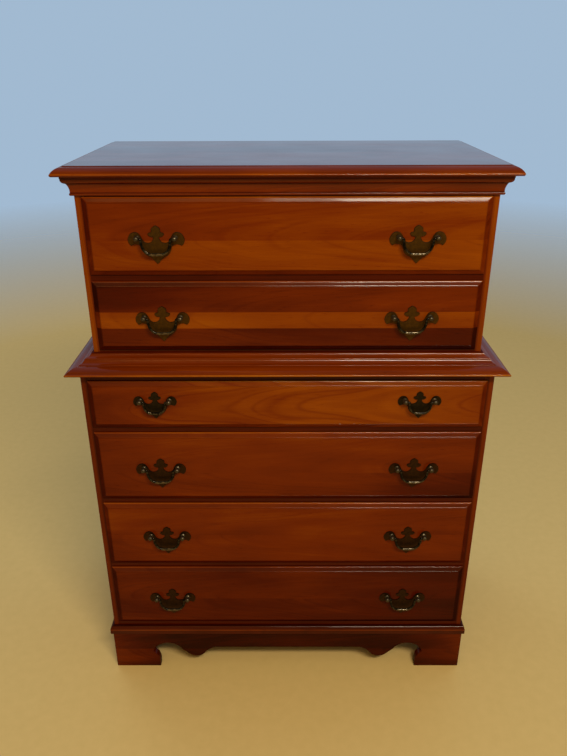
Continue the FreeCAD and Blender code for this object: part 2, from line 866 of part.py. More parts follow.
def pull_bail(name, half):
    """Swinging handle: a bent bar, its ends turned out as pins into the posts."""
    bar = s.bail_bar / 2
    drop = half * BAIL_DROP_SHARE
    arm = half - s.ball_radius - s.bail_gap
    arm_in = arm - s.bail_bar
    outer_bend = s.bail_bend + s.bail_bar
    outer = [
        (arm - outer_bend * (1 - across), outer_bend * up - drop - bar) for across, up in BEND_SHARES
    ]
    inner = [
        (arm_in - s.bail_bend * (1 - across), s.bail_bend * up - drop + bar)
        for across, up in reversed(BEND_SHARES)
    ]
    steps = mirrored(outer + [(arm, bar), (arm_in, bar)] + inner)
    bent = prism(f"{name}_bar", "front", steps, span(bar))
    length = half + s.pin_depth - arm + bar
    right = pin(f"{name}_right_pin", s.pin_radius, length, arm - bar, 90)
    left = pin(f"{name}_left_pin", s.pin_radius, length, bar - arm, -90)
    return fuse(name, bent, right, left)


def pull(name, bore):
    half = bore / 2
    return SimpleNamespace(
        half=half,
        plate=pull_plate(f"{name}_plate", half),
        bail=pull_bail(f"{name}_bail", half),
    )


def sound(shape):
    return not shape.isNull() and shape.isValid() and shape.Volume > 0


feet()
mouldings()
top_board()
cases()
post = pull_post()
large = pull("large", s.large_bore)
small = pull("small", s.small_bore)
upper_drawers = [
    (1, first_sill, s.first_front_height),
    (2, second_sill, s.second_front_height),
]
for number, sill, height in upper_drawers:
    drawer(
        number, upper_half, upper_front, sill, height,
        large, s.upper_pull_x, tail_count=3,
    )
drawer(
    3, lower_half, lower_front, third_sill, s.third_front_height,
    small, s.lower_pull_x, tail_count=2, lift=s.third_pull_lift,
)
lower_drawers = [
    (4, fourth_sill, s.fourth_front_height),
    (5, fifth_sill, s.fifth_front_height),
    (6, sixth_sill, s.sixth_front_height),
]
for number, sill, height in lower_drawers:
    drawer(
        number, lower_half, lower_front, sill, height,
        large, s.lower_pull_x, tail_count=3,
    )

doc.recompute()
failed = [item.Label for item in doc.Objects if "Invalid" in item.State or "Error" in item.State]
failed += [item.Label for item in nodes if not sound(item.Shape)]
if failed:
    raise RuntimeError(f"not built: {failed}")
os.makedirs("parts", exist_ok=True)
for item in nodes:
    item.Shape.exportStep(os.path.join("parts", f"{item.Label}.step"))
print(f"{len(nodes)} nodes, {sum(len(item.Shape.Solids) for item in nodes)} solids")
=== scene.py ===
import json
import math

import bmesh
import bpy
from mathutils import Matrix, Vector


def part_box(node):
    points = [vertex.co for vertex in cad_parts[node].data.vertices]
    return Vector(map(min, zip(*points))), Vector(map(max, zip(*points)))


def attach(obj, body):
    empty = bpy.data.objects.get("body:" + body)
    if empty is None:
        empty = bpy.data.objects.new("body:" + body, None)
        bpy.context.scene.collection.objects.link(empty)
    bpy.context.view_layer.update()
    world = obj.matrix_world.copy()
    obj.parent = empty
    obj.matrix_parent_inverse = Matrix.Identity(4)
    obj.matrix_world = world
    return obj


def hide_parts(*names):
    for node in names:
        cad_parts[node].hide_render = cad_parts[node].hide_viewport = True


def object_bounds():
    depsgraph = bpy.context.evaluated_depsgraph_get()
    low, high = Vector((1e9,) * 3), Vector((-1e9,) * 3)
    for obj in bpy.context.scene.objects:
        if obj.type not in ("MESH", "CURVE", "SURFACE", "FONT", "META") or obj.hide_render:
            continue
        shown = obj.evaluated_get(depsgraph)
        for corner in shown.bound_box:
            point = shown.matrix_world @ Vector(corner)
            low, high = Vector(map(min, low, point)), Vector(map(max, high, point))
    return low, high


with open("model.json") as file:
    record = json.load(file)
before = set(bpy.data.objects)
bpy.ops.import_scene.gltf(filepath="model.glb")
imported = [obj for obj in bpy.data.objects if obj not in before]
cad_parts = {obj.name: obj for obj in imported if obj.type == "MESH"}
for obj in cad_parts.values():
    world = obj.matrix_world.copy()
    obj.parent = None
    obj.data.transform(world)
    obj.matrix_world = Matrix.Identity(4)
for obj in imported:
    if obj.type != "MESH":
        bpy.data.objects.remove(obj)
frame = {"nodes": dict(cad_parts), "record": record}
cad_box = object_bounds()
MM = 0.001

# The two cases: front planes and half widths. Then the height of the top.
CASE_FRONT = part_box("lower_side_right")[0].y
UPPER_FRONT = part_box("upper_side_right")[0].y
LOWER_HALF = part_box("lower_side_right")[1].x
UPPER_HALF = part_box("upper_side_right")[1].x
TOP_HEIGHT = cad_box[1].z
# Where the photograph was taken from, which way the camera points, in radians, and its lens.
CAMERA_PLACE = (-0.002, CASE_FRONT - 1.3372, 1.4567)
CAMERA_PITCH = 0.43234
CAMERA_YAW = -0.00434
CAMERA_ROLL = -0.00341
CAMERA_LENS = 32.588
CAMERA_SENSOR = 36.0


class Field:
    """A value that varies over a surface. Arithmetic on it adds shader nodes."""

    def __init__(self, socket):
        self.socket = socket

    def node(self, kind, settings=None, output=0, **sockets):
        """Any other node: its type, its settings, then its sockets, by name or as in0, in1."""
        made = self.socket.id_data.nodes.new(kind)
        for name, value in (settings or {}).items():
            setattr(made, name, value)
        for name, value in sockets.items():
            key = int(name[2:]) if name[:2] == "in" and name[2:].isdigit() else name.replace("_", " ")
            feed(made.inputs[key], value)
        return Field(made.outputs[output])

    def math(self, operation, *others):
        inputs = {f"in{i}": value for i, value in enumerate((self, *others))}
        return self.node("ShaderNodeMath", {"operation": operation}, **inputs)

    def __add__(self, other):
        return self.math("ADD", other)

    __radd__ = __add__

    def __sub__(self, other):
        return self.math("SUBTRACT", other)

    def __rsub__(self, other):
        return self * -1 + other

    def __mul__(self, other):
        return self.math("MULTIPLY", other)

    __rmul__ = __mul__

    def __truediv__(self, other):
        return self.math("DIVIDE", other)

    def __gt__(self, other):
        return self.math("GREATER_THAN", other)

    def __lt__(self, other):
        return self.math("LESS_THAN", other)

    def __abs__(self):
        return self.math("ABSOLUTE")

    def root(self):
        return self.math("SQRT")

    def least(self, other):
        return self.math("MINIMUM", other)

    def clamped(self):
        return self.node("ShaderNodeClamp", Value=self)


def feed(socket, value):
    """Link a field to a socket, or set the socket to a plain value."""
    if isinstance(value, Field):
        socket.id_data.links.new(value.socket, socket)
    else:
        socket.default_value = value


def surface(name, **constants):
    """A new material with its shader's constants set, and the coordinates that its pattern follows."""
    made = bpy.data.materials.new(name)
    made.use_nodes = True
    shader = made.node_tree.nodes["Principled BSDF"]
    for key, value in constants.items():
        shader.inputs[key.replace("_", " ")].default_value = value
    place = Field(made.node_tree.nodes.new("ShaderNodeTexCoord").outputs["Object"])
    axes = [place.node("ShaderNodeSeparateXYZ", output=i, Vector=place) for i in range(3)]
    return made, shader, axes


def noise(u, v, w, detail=2.0, roughness=0.5):
    """Smooth noise about 0, from -0.5 to 0.5, over three stretched coordinates."""
    where = u.node("ShaderNodeCombineXYZ", X=u, Y=v, Z=w)
    return u.node("ShaderNodeTexNoise", Vector=where, Scale=1.0, Detail=detail, Roughness=roughness) - 0.5


def near(value, place, width):
    """1 where a value is at a place, falling to 0 at a width from it."""
    return (1 - abs(value - place) / width).clamped()


def spots(field, threshold, slope):
    """0 up to a threshold, then rising to 1."""
    return ((field - threshold) * slope).clamped()


def ramp(factor, stops):
    """Colours along a field, from (position, colour) stops."""
    made = factor.node("ShaderNodeValToRGB", Fac=factor)
    band = made.socket.node.color_ramp
    while len(band.elements) < len(stops):
        band.elements.new(1.0)
    for element, (position, colour) in zip(band.elements, stops):
        element.position = position
        element.color = (*colour, 1.0)
    return made


def mix(factor, first, second):
    return factor.node(
        "ShaderNodeMix", {"data_type": "RGBA"}, output=2, in0=factor, in6=(*first, 1.0), in7=(*second, 1.0)
    )


def bump(height, strength, distance):
    return height.node("ShaderNodeBump", Height=height, Strength=strength, Distance=distance)


# Wood colours, from the darkest grain to the palest board.
CHERRY = [
    (0.0, (0.024, 0.0018, 0.0001)),
    (0.3, (0.08, 0.0072, 0.0001)),
    (0.55, (0.17, 0.0225, 0.0002)),
    (0.8, (0.28, 0.06, 0.0004)),
    (1.0, (0.4, 0.14, 0.003)),
]
POPLAR = [
    (0.0, (0.2, 0.11, 0.045)),
    (0.5, (0.36, 0.22, 0.1)),
    (1.0, (0.5, 0.34, 0.17)),
]
MAPLE = [
    (0.0, (0.33, 0.19, 0.08)),
    (0.5, (0.52, 0.34, 0.16)),
    (1.0, (0.66, 0.47, 0.26)),
]
PLY = [
    (0.0, (0.24, 0.14, 0.065)),
    (0.5, (0.38, 0.25, 0.13)),
    (1.0, (0.5, 0.36, 0.2)),
]

# The log that a board was sawn from: how deep its heart lies, how it sways and leans, its rings to the
# metre, and waves to the metre along them.
HEART_DEPTH = 0.045
HEART_SWAY = 0.022
LOG_LEAN = 0.035
RINGS = 150.0
RING_WAVES = 0.7
LATE_RINGS = 540.0
LATE_WAVES = 1.5
# A glued-up strip starts a new board: its pattern is shifted by this much.
BOARD_SHIFT = 5.3
# Marks in the wood and smears in its polish, as waves to the metre along the board and across it.
SWAY = (1.9, 5.0)
FIBRE = (16.0, 620.0)
CLOUD = (3.6, 8.0)
STREAK = (3.0, 34.0)
FLECK = (70.0, 560.0)
GUM = (9.0, 85.0)
SMEAR = (7.0, 11.0)
# Where flecks and gum show: threshold and slope. Where a vein runs along a ring: its place and width.
FLECK_SPOTS = (0.22, 7.0)
GUM_SPOTS = (0.2, 6.0)
VEIN = (0.05, 0.035)
# How much each mark changes the tone. The last three follow the rings.
CLOUD_TONE = 0.34
STREAK_TONE = 0.28
FIBRE_TONE = 0.12
FLECK_TONE = -0.1
GUM_TONE = -0.12
GROWTH_TONE = 0.2
LATE_TONE = 0.12
VEIN_TONE = -0.07
# Roughness of bare wood and of its lacquer, how much full polish takes off each, and how uneven wood is.
ROUGHNESS = 0.66
POLISH = 0.22
COAT_ROUGHNESS = 0.3
COAT_POLISH = 0.19
UNEVEN = 0.14
# Lacquer where nothing else is said, its level and its smears; then how deep the pores are.
PLAIN_COAT = 0.28
COAT_LEVEL = 0.95
COAT_SMEAR = 0.3
PORE_DEPTH = 0.4 * MM
# How much fibres and rings stand out.
FIBRE_RELIEF = 0.6
RING_RELIEF = 0.4


def timber(
    name, colours, grain, tone=0.5, seed=0.0, middle=0.0, strips=(), polish=1.0, figure=1.0, tone_and_light=None,
    coat=PLAIN_COAT, open_pores=0.05,
):
    """Planed and finished wood. grain gives the coordinates along, across and into the board, and middle is
    where the log's heart lies across it. strips are glued-up boards, each as the place across where it
    starts and how much paler it is than the one before. tone_and_light adds changes of tone and stains, and
    painted light: painted shade in hollows and painted highlights along edges. coat is the lacquer, one
    weight or, like tone_and_light, a function of the coordinates, and open_pores is how far the grain
    stands out under it."""
    rough_coat = COAT_ROUGHNESS - COAT_POLISH * polish
    made, shader, axes = surface(name, Coat_Roughness=rough_coat, Specular_IOR_Level=0.0)
    along, across, into = grain(*axes)

    def marks(waves, shift, detail=2.0):
        return noise(along * waves[0] + shift, across * waves[1], into * waves[1], detail)

    shade = tone
    board = seed
    for start, change in strips:
        above = across > start
        shade = above * change + shade
        board = above * BOARD_SHIFT + board
    sway = marks(SWAY, board)
    heart = across + sway * HEART_SWAY - middle
    depth = into + along * LOG_LEAN + sway * HEART_SWAY + HEART_DEPTH
    ring = (heart * heart + depth * depth).root()
    growth = noise(ring * RINGS, along * RING_WAVES + board, 0.0)
    late = noise(ring * LATE_RINGS, along * LATE_WAVES + board, 0.0, 1.0)
    vein = near(growth, *VEIN)
    fibre = marks(FIBRE, board)
    cloud = marks(CLOUD, board)
    streak = marks(STREAK, board, 3.0)
    fleck = spots(marks(FLECK, board, 0.0), *FLECK_SPOTS)
    gum = spots(marks(GUM, board), *GUM_SPOTS)
    shade = cloud * CLOUD_TONE + streak * STREAK_TONE + fibre * FIBRE_TONE + shade
    shade = fleck * FLECK_TONE + gum * GUM_TONE + shade
    shade = (growth * GROWTH_TONE + late * LATE_TONE + vein * VEIN_TONE) * figure + shade
    # Changes of tone and stains, with painted shade and painted highlights.
    if tone_and_light:
        shade = shade + tone_and_light(*axes) * (cloud + 1.0)
    feed(shader.inputs["Base Color"], ramp(shade.clamped(), colours))
    smear = marks(SMEAR, seed, 3.0)
    feed(shader.inputs["Roughness"], (fibre + smear) * UNEVEN + (ROUGHNESS - POLISH * polish))
    lacquer = coat(*axes) if callable(coat) else coat
    feed(shader.inputs["Coat Weight"], (smear * COAT_SMEAR + COAT_LEVEL) * lacquer * polish)
    relief = fibre * FIBRE_RELIEF + growth * RING_RELIEF
    feed(shader.inputs["Normal"], bump(relief, open_pores, PORE_DEPTH))
    return made


def along_x(x, y, z):
    return x, z, y


def along_x_flat(x, y, z):
    return x, y, z


def along_y(x, y, z):
    return y, z, x


def along_z(x, y, z):
    return z, y, x


def round_corner(half, front):
    """Grain that follows a moulding: along the front, then, past the mitre, along the sides."""

    def grain(x, y, z):
        side = (abs(x) - half) > (front - y)
        return x + (y - x) * side, z, y + (x - y) * side

    return grain


REAR_RAIL_DEPTH = 50 * MM
BOX_BACK_DEPTH = 22 * MM
BOX_SIDE_THICKNESS = 12 * MM


def frame_grain(x, y, z):
    """Web frames: runners lie along the case, from front to back, and rear rails across it."""
    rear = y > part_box("web_frames")[1].y - REAR_RAIL_DEPTH
    return y + (x - y) * rear, z, x + (y - x) * rear


def box_grain(node):
    """Drawer boxes: sides run from front to back, the back runs across between them."""
    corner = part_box(node)[1]

    def grain(x, y, z):
        back = (y > corner.y - BOX_BACK_DEPTH) * (abs(x) < corner.x - BOX_SIDE_THICKNESS)
        return y + (x - y) * back, z, x + (y - x) * back

    return grain


# Moulded edge of a drawer front: its width, how soon its darker edge gives way to the field, and how much
# darker it is: at the top from stain; at the bottom from stain and painted shade, as it faces down away
# from the light; at the ends from stain, which end grain drinks, and painted shade.
THUMB_WIDTH = 11 * MM
QUIRK_WIDTH = 2 * MM
TOP_LIP = -0.08
BOTTOM_LIP_STAIN_AND_SHADE = -0.24
END_LIP_STAIN_AND_SHADE = -0.24
# Over how much height one board's change of tone along it gives way to the next one's.
BOARD_BLUR = 40 * MM
# Painted lines along edges: how much darker painted shade in a crease is, how much paler a painted
# highlight along an edge and a fainter one are, and how wide the lines are.
CREASE_SHADE = -0.28
PAINTED_HIGHLIGHT = 0.45
FAINT_PAINTED_HIGHLIGHT = 0.7 * PAINTED_HIGHLIGHT
LINE_WIDTH = 2.5 * MM
# Painted highlight along a front's upper edge: how far below its top, and how wide.
ARRIS_DOWN = 1 * MM
ARRIS_WIDTH = 1.8 * MM
# Lacquer on a front's field, and how much less there is on its dull edges. Then on mouldings, how much less
# there is at their top, and how far down from it.
FIELD_COAT = 0.26
EDGE_LOSS = 0.16
MOULDING_COAT = 0.48
UNPOLISHED_LOSS = 0.4
UNPOLISHED = 4 * MM


def front_zones(node, x, z):
    """Places on a drawer front: from -1 to 1 across it, 1 on its moulded edge, 1 at its two ends."""
    low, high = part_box(node)
    centre = (low + high) / 2
    half = (high - low) / 2
    from_end = half.x - abs(x - centre.x)
    from_edge = half.z - abs(z - centre.z)
    lip = ((THUMB_WIDTH - from_end.least(from_edge)) / QUIRK_WIDTH).clamped()
    return (x - centre.x) / half.x, lip, from_end < from_edge


def front_tone_and_light(node, boards):
    """A drawer front's tone and painted light: changes of tone across its boards, partly painted light,
    brighter to the right, and painted shade towards the ends; its edge, stained and darkened with painted
    shade; and a painted highlight along its upper edge.
    """
    low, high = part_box(node)

    def tone_and_light(x, y, z):
        across, lip, end = front_zones(node, x, z)
        # Changes of tone across the front: partly the boards' own, partly painted light brighter to the
        # right and painted shade towards the ends.
        lean, bow = boards[0][2:]
        for before, board in zip(boards, boards[1:]):
            above = ((z - low.z - (high.z - low.z) * board[0]) / BOARD_BLUR + 0.5).clamped()
            lean = above * (board[2] - before[2]) + lean
            bow = above * (board[3] - before[3]) + bow
        # The darker edge: stain, with painted shade on the lower edge and at the ends.
        edge = (z < (low.z + high.z) / 2) * (BOTTOM_LIP_STAIN_AND_SHADE - TOP_LIP) + TOP_LIP
        lip_darkening = (edge + (END_LIP_STAIN_AND_SHADE - edge) * end) * lip
        # Painted highlight along the upper edge.
        paleness = near(z, high.z - ARRIS_DOWN, ARRIS_WIDTH) * FAINT_PAINTED_HIGHLIGHT
        return across * lean + across * across * bow + lip_darkening + paleness

    return tone_and_light


def front_coat(node, gloss):
    """The moulded edge at the top is glossier than the field, and the others are duller."""
    low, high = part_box(node)

    def coat(x, y, z):
        lip, end = front_zones(node, x, z)[1:]
        upper = (z > (low.z + high.z) / 2) * (1 - end)
        return (upper * (gloss + EDGE_LOSS) - EDGE_LOSS) * lip + FIELD_COAT

    return coat


def moulding_shade_and_highlights(node, shaded_creases, paleness):
    """Painted shade in dark lines along a moulding where its profile turns in, and painted highlights in
    pale lines along its edges.
    """
    low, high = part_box(node)

    def tone_and_light(x, y, z):
        change = 0.0
        # Dark lines are painted shade in creases, pale lines painted highlights along edges.
        for shares, tone in ((shaded_creases, CREASE_SHADE), (paleness, PAINTED_HIGHLIGHT)):
            for share in shares:
                change = near(z, low.z + (high.z - low.z) * share, LINE_WIDTH) * tone + change
        return change

    return tone_and_light


def moulding_coat(node):
    """A moulding is glossy but for its uppermost edge, which is hard to reach with a cloth."""
    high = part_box(node)[1]

    def coat(x, y, z):
        return near(z, high.z, UNPOLISHED) * -UNPOLISHED_LOSS + MOULDING_COAT

    return coat


# The top: how thin a layer its face is, how much paler its moulded edge is, how far down a painted
# highlight runs along that edge, and the lacquer on the edge and, besides, on the face.
FACE_LAYER = 1 * MM
NOSE_TONE = 0.14
NOSE_HIGHLIGHT_DOWN = 14 * MM
NOSE_COAT = 0.45
FACE_COAT = 0.5
# Feet: how far in from the corners they are paler, and how far up from the floor they are scuffed dark.
FOOT_SPAN = 160 * MM
FOOT_TONE = 0.31
SCUFF_HEIGHT = 30 * MM
SCUFF_TONE = -0.14
# Painted shadow of the drawer lips, with grime, on the front edges of the case sides: how far in from the
# outside, how wide, how dark.
SHADOW_AND_GRIME_IN = 14 * MM
SHADOW_AND_GRIME_WIDTH = 6 * MM
SHADOW_AND_GRIME_TONE = -0.3


def nose_tone_and_highlight(x, y, z):
    """The top's moulded edge is paler than its face, with a painted highlight along it."""
    edge = z < TOP_HEIGHT - FACE_LAYER
    return edge * NOSE_TONE + near(z, TOP_HEIGHT - NOSE_HIGHLIGHT_DOWN, LINE_WIDTH) * FAINT_PAINTED_HIGHLIGHT


def top_coat(x, y, z):
    """The top's face is rubbed to a higher gloss than its edge."""
    return (z > TOP_HEIGHT - FACE_LAYER) * FACE_COAT + NOSE_COAT


def foot_glaze(x, y, z):
    """Feet are paler than the apron between them, and darken towards the floor."""
    return near(abs(x), LOWER_HALF, FOOT_SPAN) * FOOT_TONE + near(z, 0.0, SCUFF_HEIGHT) * SCUFF_TONE


def stile_shadow_and_grime(half):
    """Painted shadow of the drawer lips, with grime, darkens the case's front edges beside the drawers."""

    def tone_and_light(x, y, z):
        return near(abs(x), half - SHADOW_AND_GRIME_IN, SHADOW_AND_GRIME_WIDTH) * SHADOW_AND_GRIME_TONE

    return tone_and_light


def dress(node, finish):
    """Give a CAD node its finish."""
    mesh = frame["nodes"][node].data
    mesh.materials.clear()
    mesh.materials.append(finish)


# Eased edges: their radii, the gap that is closed first, the bend that still counts as flat, and the bend
# from which an edge is eased.
EASE_RADIUS = 0.9 * MM
LIP_RADIUS = 1.5 * MM
WELD_GAP = 0.01 * MM
FLAT_BEND = math.radians(0.5)
EDGE_BEND = math.radians(28)
EASE_STEPS = 2


def ease(node, radius):
    """Take the sharpness off a CAD node's edges, as sandpaper does."""
    item = frame["nodes"][node]
    item.modifiers.new("joined_faces", "WELD").merge_threshold = WELD_GAP
    flats = item.modifiers.new("whole_flats", "DECIMATE")
    flats.decimate_type = "DISSOLVE"
    flats.angle_limit = FLAT_BEND
    edges = item.modifiers.new("eased_edges", "BEVEL")
    edges.limit_method = "ANGLE"
    edges.angle_limit = EDGE_BEND
    edges.width = radius
    edges.segments = EASE_STEPS
    edges.use_clamp_overlap = False
    item.modifiers.new("soft_shading", "WEIGHTED_NORMAL")


# Drawer fronts: the boards of each, from the bottom upwards. Each board has the share of the front's height
# where it starts, its tone in the middle, and its change of tone to the right end and to both ends. These
# changes are partly the boards' own tone and partly painted light: brighter to the right, where the key
# lamp stands, and painted shade towards the ends.
FRONTS = {
    1: [(0.0, 0.67, 0.05, 0.0), (0.46, 0.55, 0.09, 0.03)],
    2: [(0.0, 0.34, -0.1, -0.04), (0.335, 0.68, -0.03, 0.0), (0.57, 0.4, 0.17, -0.02)],
    3: [(0.0, 0.71, 0.1, -0.16)],
    4: [(0.0, 0.51, -0.08, -0.19), (0.42, 0.57, 0.04, -0.13)],
    5: [(0.0, 0.52, 0.03, -0.07), (0.5, 0.56, -0.05, 0.0)],
    6: [(0.0, 0.36, -0.12, -0.1), (0.46, 0.38, -0.06, -0.05)],
}
FRONT_SEED = 3.7
# The third front and the back panels show more figure than the other fronts, and the first front's upper
# edge has less gloss.
FIGURE = 0.8
STRONG_FIGURE = 1.6
LIP_GLOSS = 0.4
FIRST_LIP_GLOSS = 0.06
# Case sides: the front plane, half width and front edges' tone of each case. These tones are partly painted
# light: a painted highlight on the paler upper front edges, painted shade on the darker lower ones. Then,
# from
# front to back: how wide the front edge is, the tone behind it, and the boards' places and changes of tone.
CASES = {"upper": (UPPER_FRONT, UPPER_HALF, 0.66), "lower": (CASE_FRONT, LOWER_HALF, 0.45)}
STILE_WIDTH = 19 * MM
SIDE_TONE = 0.54
SIDE_BOARDS = [(-0.1, -0.06), (0.05, 0.1), (0.16, -0.07)]
# Glued-up boards of the top and of the drawer bottoms, and the glue line of the aprons.
TOP_BOARDS = [(-0.13, 0.08), (0.0, -0.1), (0.12, 0.06)]
BOTTOM_BOARDS = [(-0.06, 0.08), (0.07, -0.1)]
APRON_BOARDS = [(0.06, -0.06)]
# Mouldings: half width and front plane of their case, tone, seed, then lines of painted shade in creases
# and of painted highlight along edges, in shares of the moulding's height.
MOULDINGS = {
    "cornice": (UPPER_HALF, UPPER_FRONT, 0.5, 57.0, (0.14, 0.61, 0.87), ()),
    "waist": (LOWER_HALF, CASE_FRONT, 0.5, 61.0, (0.99,), (0.1,)),
    "base": (LOWER_HALF, CASE_FRONT, 0.25, 67.0, (0.98,), (0.54,)),
}


def dress_fronts():
    """Drawer fronts, each of its own boards."""
    for number, boards in FRONTS.items():
        node = f"drawer_{number}_front"
        low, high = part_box(node)
        starts = [low.z + (high.z - low.z) * board[0] for board in boards[1:]]
        changes = [board[1] - before[1] for before, board in zip(boards, boards[1:])]
        gloss = FIRST_LIP_GLOSS if number == 1 else LIP_GLOSS
        front = timber(
            f"cherry_front_{number}", CHERRY, along_x, boards[0][1], FRONT_SEED * number,
            middle=(low.z + high.z) / 2, strips=list(zip(starts, changes)),
            figure=STRONG_FIGURE if number == 3 else FIGURE,
            tone_and_light=front_tone_and_light(node, boards), coat=front_coat(node, gloss),
        )
        dress(node, front)
        ease(node, LIP_RADIUS)


def dress_case():
    """What shows of the case from outside."""
    top = timber(
        "cherry_top", CHERRY, along_x_flat, tone=0.34, seed=31.0, strips=TOP_BOARDS, polish=1.1,
        tone_and_light=nose_tone_and_highlight, coat=top_coat,
    )
    dress("top_board", top)
    ease("top_board", EASE_RADIUS)
    for case, (front, half, tone) in CASES.items():
        strips = [(front + STILE_WIDTH, SIDE_TONE - tone), *SIDE_BOARDS]
        side = timber(
            f"cherry_{case}_sides", CHERRY, along_z, tone, seed=43.0, strips=strips, tone_and_light=stile_shadow_and_grime(half)
        )
        for hand in ("left", "right"):
            dress(f"{case}_side_{hand}", side)
            ease(f"{case}_side_{hand}", EASE_RADIUS)
    # The rails' dark tone is partly painted shade, in the recesses between the drawer lips and below the
    # waist moulding.
    rails = timber("cherry_rails_and_shade", CHERRY, along_x, tone=0.24, seed=51.0, middle=0.6)
    for node in ("front_rails", "deck_board"):
        dress(node, rails)
    for part, (half, front, tone, seed, shaded_creases, paleness) in MOULDINGS.items():
        node = f"{part}_moulding"
        finish = timber(
            f"cherry_{part}", CHERRY, round_corner(half, front), tone, seed, middle=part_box(node)[0].z,
            tone_and_light=moulding_shade_and_highlights(node, shaded_creases, paleness), coat=moulding_coat(node), open_pores=0.01,
        )
        dress(node, finish)
    for node, grain, seed in (("front_apron", along_x, 71.0), ("side_aprons", along_y, 73.0)):
        apron = timber(
            f"cherry_{node}", CHERRY, grain, tone=0.12, seed=seed, middle=0.06, strips=APRON_BOARDS,
            tone_and_light=foot_glaze,
        )
        dress(node, apron)
        ease(node, EASE_RADIUS)


def dress_inside():
    """Frames, panels and drawer boxes, which are hardly finished."""
    poplar = timber("poplar_frames", POPLAR, frame_grain, seed=5.0, polish=0.1)
    for node in ("web_frames", "centre_guides", "foot_blocks"):
        dress(node, poplar)
    ply = timber("back_ply", PLY, along_z, seed=9.0, polish=0.1, figure=STRONG_FIGURE)
    for node in ("upper_back_panel", "lower_back_panel"):
        dress(node, ply)
    dress("dust_panels", timber("dust_ply", PLY, along_x_flat, seed=11.0, polish=0.1))
    bottom = timber(
        "maple_bottoms", MAPLE, along_x_flat, tone=0.56, seed=17.0, strips=BOTTOM_BOARDS, polish=0.3
    )
    for number in FRONTS:
        node = f"drawer_{number}_box"
        dress(node, timber(f"maple_box_{number}", MAPLE, box_grain(node), seed=13.0 + number, polish=0.3))
        dress(f"drawer_{number}_bottom", bottom)


# Brass finishes: the patina, the rubbed metal, how far it is rubbed all over and how dull it is. For the
# bails, also how far hands have rubbed the grip.
BRASS = {
    "plate_brass": ((0.05, 0.021, 0.002), (0.14, 0.066, 0.008), 0.4, 0.5),
    # A darker copy of the upper plates' brass: painted shade, as less light reaches low on the chest.
    "shaded_lower_plate_brass": ((0.019, 0.007, 0.0015), (0.064, 0.026, 0.005), 0.36, 0.5),
    # The rim's darker brass: patina and painted shade along the plate's outline.
    "plate_rim_patina_and_shade": ((0.008, 0.005, 0.002), (0.04, 0.024, 0.008), 0.2, 0.45),
    "small_plate_brass": ((0.012, 0.0075, 0.003), (0.05, 0.031, 0.01), 0.3, 0.5),
    "post_brass": ((0.02, 0.015, 0.009), (0.17, 0.14, 0.095), 0.4, 0.42),
    "bail_brass": ((0.006, 0.0045, 0.003), (0.3, 0.24, 0.16), 0.02, 0.2, 0.45),
}
# Where hands have rubbed a bail: its lowest place below the axis, and how far up the wear reaches.
GRIP_LOW = -34 * MM
GRIP_RISE = 12 * MM
# Patches and specks of patina: waves to the metre, how far they change the rubbing, how much they stand
# out, and how deep patina is.
MOTTLE_WAVES = 160.0
SPECK_WAVES = 900.0
MOTTLE_RUB = 1.5
SPECK_RUB = 0.5
MOTTLE_RELIEF = 0.6
SPECK_RELIEF = 0.4
PATINA_RELIEF = 0.1
PATINA_DEPTH = 0.3 * MM
# How metallic patina is, and rubbed brass besides. How much smoother that is, and how much specks roughen.
PATINA_METAL = 0.8
RUBBED_METAL = 0.15
RUBBED_SMOOTH = 0.14
SPECK_ROUGH = 0.1
# Bare steel: waves of its patches to the metre, and the colours between which they vary.
STEEL_WAVES = 240.0
STEEL_DARK = (0.3, 0.29, 0.27)
STEEL_PALE = (0.52, 0.51, 0.49)


def brass(name, dark, bright, worn, dull, grip=0.0):
    """Antique brass: dark patina, rubbed bright in patches and, by grip, where hands hold a bail."""
    made, shader, axes = surface(name, Specular_IOR_Level=0.5)
    mottle = noise(*(axis * MOTTLE_WAVES for axis in axes), 4.0, 0.6)
    speck = noise(*(axis * SPECK_WAVES for axis in axes))
    held = near(axes[2], GRIP_LOW, GRIP_RISE) * grip
    paleness = (mottle * MOTTLE_RUB + speck * SPECK_RUB + worn + held).clamped()
    feed(shader.inputs["Base Color"], mix(paleness, dark, bright))
    feed(shader.inputs["Metallic"], paleness * RUBBED_METAL + PATINA_METAL)
    feed(shader.inputs["Roughness"], dull - paleness * RUBBED_SMOOTH + speck * SPECK_ROUGH)
    relief = mottle * MOTTLE_RELIEF + speck * SPECK_RELIEF
    feed(shader.inputs["Normal"], bump(relief, PATINA_RELIEF, PATINA_DEPTH))
    return made


def bare_steel():
    made, shader, axes = surface("nut_steel", Specular_IOR_Level=0.5)
    dull = noise(*(axis * STEEL_WAVES for axis in axes), 3.0) + 0.5
    feed(shader.inputs["Base Color"], mix(dull, STEEL_DARK, STEEL_PALE))
    feed(shader.inputs["Metallic"], dull * 0.2 + 0.8)
    feed(shader.inputs["Roughness"], dull * 0.25 + 0.3)
    return made


# Pulls, in millimetres about the bail's axis, for the large boring; the small ones follow in proportion.
LARGE_BORE = 38.1
SMALL_BORE = 31.75
POST_REACH = 10.5
PLATE_THICKNESS = 2.0
FRONT_THROUGH = 23.0
